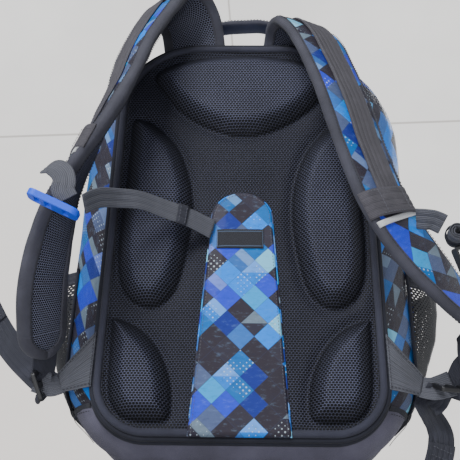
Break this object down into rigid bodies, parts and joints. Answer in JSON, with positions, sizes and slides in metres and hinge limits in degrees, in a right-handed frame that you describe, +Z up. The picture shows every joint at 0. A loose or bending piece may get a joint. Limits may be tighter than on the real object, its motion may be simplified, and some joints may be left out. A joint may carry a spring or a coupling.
{
  "type": "school backpack",
  "caption": "Soft school backpack with moulded mesh back pads, printed panels, padded shoulder straps, chest strap, side net pockets, zipped front cover and a carry handle.",
  "frame": {"origin": "on the flat of the base, on the centre line, below the middle of the main compartment", "axes": "+Z up with the bag standing on its base, -Y out of the padded back panel towards the wearer, +Y out of the front pockets, +X to the right seen from the wearer's side"},
  "size_m": [0.4803, 0.3662, 0.4765],
  "materials": {
    "print_fabric": "glossy coated polyester with a patchwork print",
    "plain_fabric": "coated polyester, plain weave",
    "air_mesh": "knitted spacer mesh over foam",
    "net": "open elastic net",
    "edge_binding": "folded edge tape",
    "webbing": "ribbed polypropylene webbing",
    "reflective": "reflective tape",
    "black_plastic": "moulded acetal",
    "blue_plastic": "moulded acetal, blue",
    "zip_metal": "black enamelled die casting",
    "board": "polyethylene sheet",
    "label_weave": "woven tape, blank"
  },
  "bodies": {
    "bag": {"top_gusset": "plain_fabric", "side_gusset_left": "print_fabric", "side_gusset_right": "print_fabric", "base_shell": "plain_fabric", "zip_tape_rear": "plain_fabric", "zip_coil": "black_plastic", "back_panel": "air_mesh", "panel_piping": "edge_binding", "pad_top": "air_mesh", "pad_mid_left": "air_mesh", "pad_mid_right": "air_mesh", "pad_low_left": "air_mesh", "pad_low_right": "air_mesh", "back_tongue": "print_fabric", "woven_label": "label_weave", "frame_sheet": "board", "divider_panel": "plain_fabric", "base_board": "board", "mesh_pocket_left": "net", "mesh_pocket_right": "net", "strap_wing_left": "webbing", "strap_wing_right": "webbing", "handle_anchor": "webbing"},
    "cover": {"cover_shell": "print_fabric", "zip_tape_front": "plain_fabric", "front_pocket": "plain_fabric", "upper_pocket": "plain_fabric", "pocket_zip": "black_plastic", "upper_zip": "black_plastic", "front_reflector": "reflective"},
    "handle": {"grab_handle": "webbing"},
    "strap_left": {"strap_pad_left": "air_mesh", "strap_cover_left": "print_fabric", "strap_binding_left": "edge_binding", "strap_band_left": "webbing", "cross_tab_left": "webbing", "reflector_left": "reflective", "ladder_lock_left": "black_plastic", "lower_webbing_left": "webbing", "chest_clip": "blue_plastic", "chest_tail_left": "webbing"},
    "strap_right": {"strap_pad_right": "air_mesh", "strap_cover_right": "print_fabric", "strap_binding_right": "edge_binding", "strap_band_right": "webbing", "cross_tab_right": "webbing", "reflector_right": "reflective", "ladder_lock_right": "black_plastic", "lower_webbing_right": "webbing"},
    "chest_left": {"chest_webbing_left": "webbing"},
    "chest_right": {"chest_webbing_right": "webbing", "chest_socket": "black_plastic"},
    "main_slider_left": {"main_slider_left": "zip_metal"},
    "main_slider_right": {"main_slider_right": "zip_metal"},
    "main_pull_left": {"main_pull_left": "zip_metal"},
    "main_pull_right": {"main_pull_right": "zip_metal"},
    "pocket_slider": {"pocket_slider": "zip_metal"},
    "pocket_pull": {"pocket_pull": "zip_metal"},
    "upper_slider": {"upper_slider": "zip_metal"},
    "upper_pull": {"upper_pull": "zip_metal"}
  },
  "joints": [
    {"name": "cover_open", "type": "hinge", "parent": "bag", "child": "cover", "pos_m": [0, 0.1, 0.0505], "axis": [-1, 0, 0], "range_deg": [0, 75]},
    {"name": "handle_swing", "type": "hinge", "parent": "bag", "child": "handle", "pos_m": [0, -0.06, 0.439], "axis": [-1, 0, 0], "range_deg": [-8, 75]},
    {"name": "strap_left_swing", "type": "hinge", "parent": "bag", "child": "strap_left", "pos_m": [-0.052, -0.084, 0.433], "axis": [-0.2672, -0.008, -0.9636], "range_deg": [-3, 20]},
    {"name": "strap_right_swing", "type": "hinge", "parent": "bag", "child": "strap_right", "pos_m": [0.05, -0.086, 0.431], "axis": [-0.2735, 0.0027, 0.9619], "range_deg": [-8, 25]},
    {"name": "chest_left_swing", "type": "hinge", "parent": "strap_left", "child": "chest_left", "pos_m": [-0.131, -0.1965, 0.191], "axis": [0, 0, -1], "range_deg": [0, 60]},
    {"name": "chest_right_swing", "type": "hinge", "parent": "strap_right", "child": "chest_right", "pos_m": [0.155, -0.166, 0.193], "axis": [0, 0, -1], "range_deg": [0, 60]},
    {"name": "main_slide_left", "type": "slide", "parent": "bag", "child": "main_slider_left", "axis": [-1, 0, 0], "range_m": [0, 0.045]},
    {"name": "main_slide_right", "type": "slide", "parent": "bag", "child": "main_slider_right", "axis": [1, 0, 0], "range_m": [0, 0.045]},
    {"name": "main_pull_left_lift", "type": "hinge", "parent": "main_slider_left", "child": "main_pull_left", "pos_m": [-0.008, 0.026, 0.43773], "axis": [0, 1, 0], "range_deg": [0, 90]},
    {"name": "main_pull_right_lift", "type": "hinge", "parent": "main_slider_right", "child": "main_pull_right", "pos_m": [0.008, 0.026, 0.43773], "axis": [0, -1, 0], "range_deg": [0, 90]},
    {"name": "pocket_slide", "type": "slide", "parent": "cover", "child": "pocket_slider", "axis": [1, 0, 0], "range_m": [0, 0.152]},
    {"name": "pocket_pull_lift", "type": "hinge", "parent": "pocket_slider", "child": "pocket_pull", "pos_m": [-0.076, 0.1458, 0.208], "axis": [1, 0, 0], "range_deg": [0, 95]},
    {"name": "upper_slide", "type": "slide", "parent": "cover", "child": "upper_slider", "axis": [-1, 0, 0], "range_m": [0, 0.1]},
    {"name": "upper_pull_lift", "type": "hinge", "parent": "upper_slider", "child": "upper_pull", "pos_m": [0.05, 0.1218, 0.322], "axis": [1, 0, 0], "range_deg": [0, 95]}
  ]
}
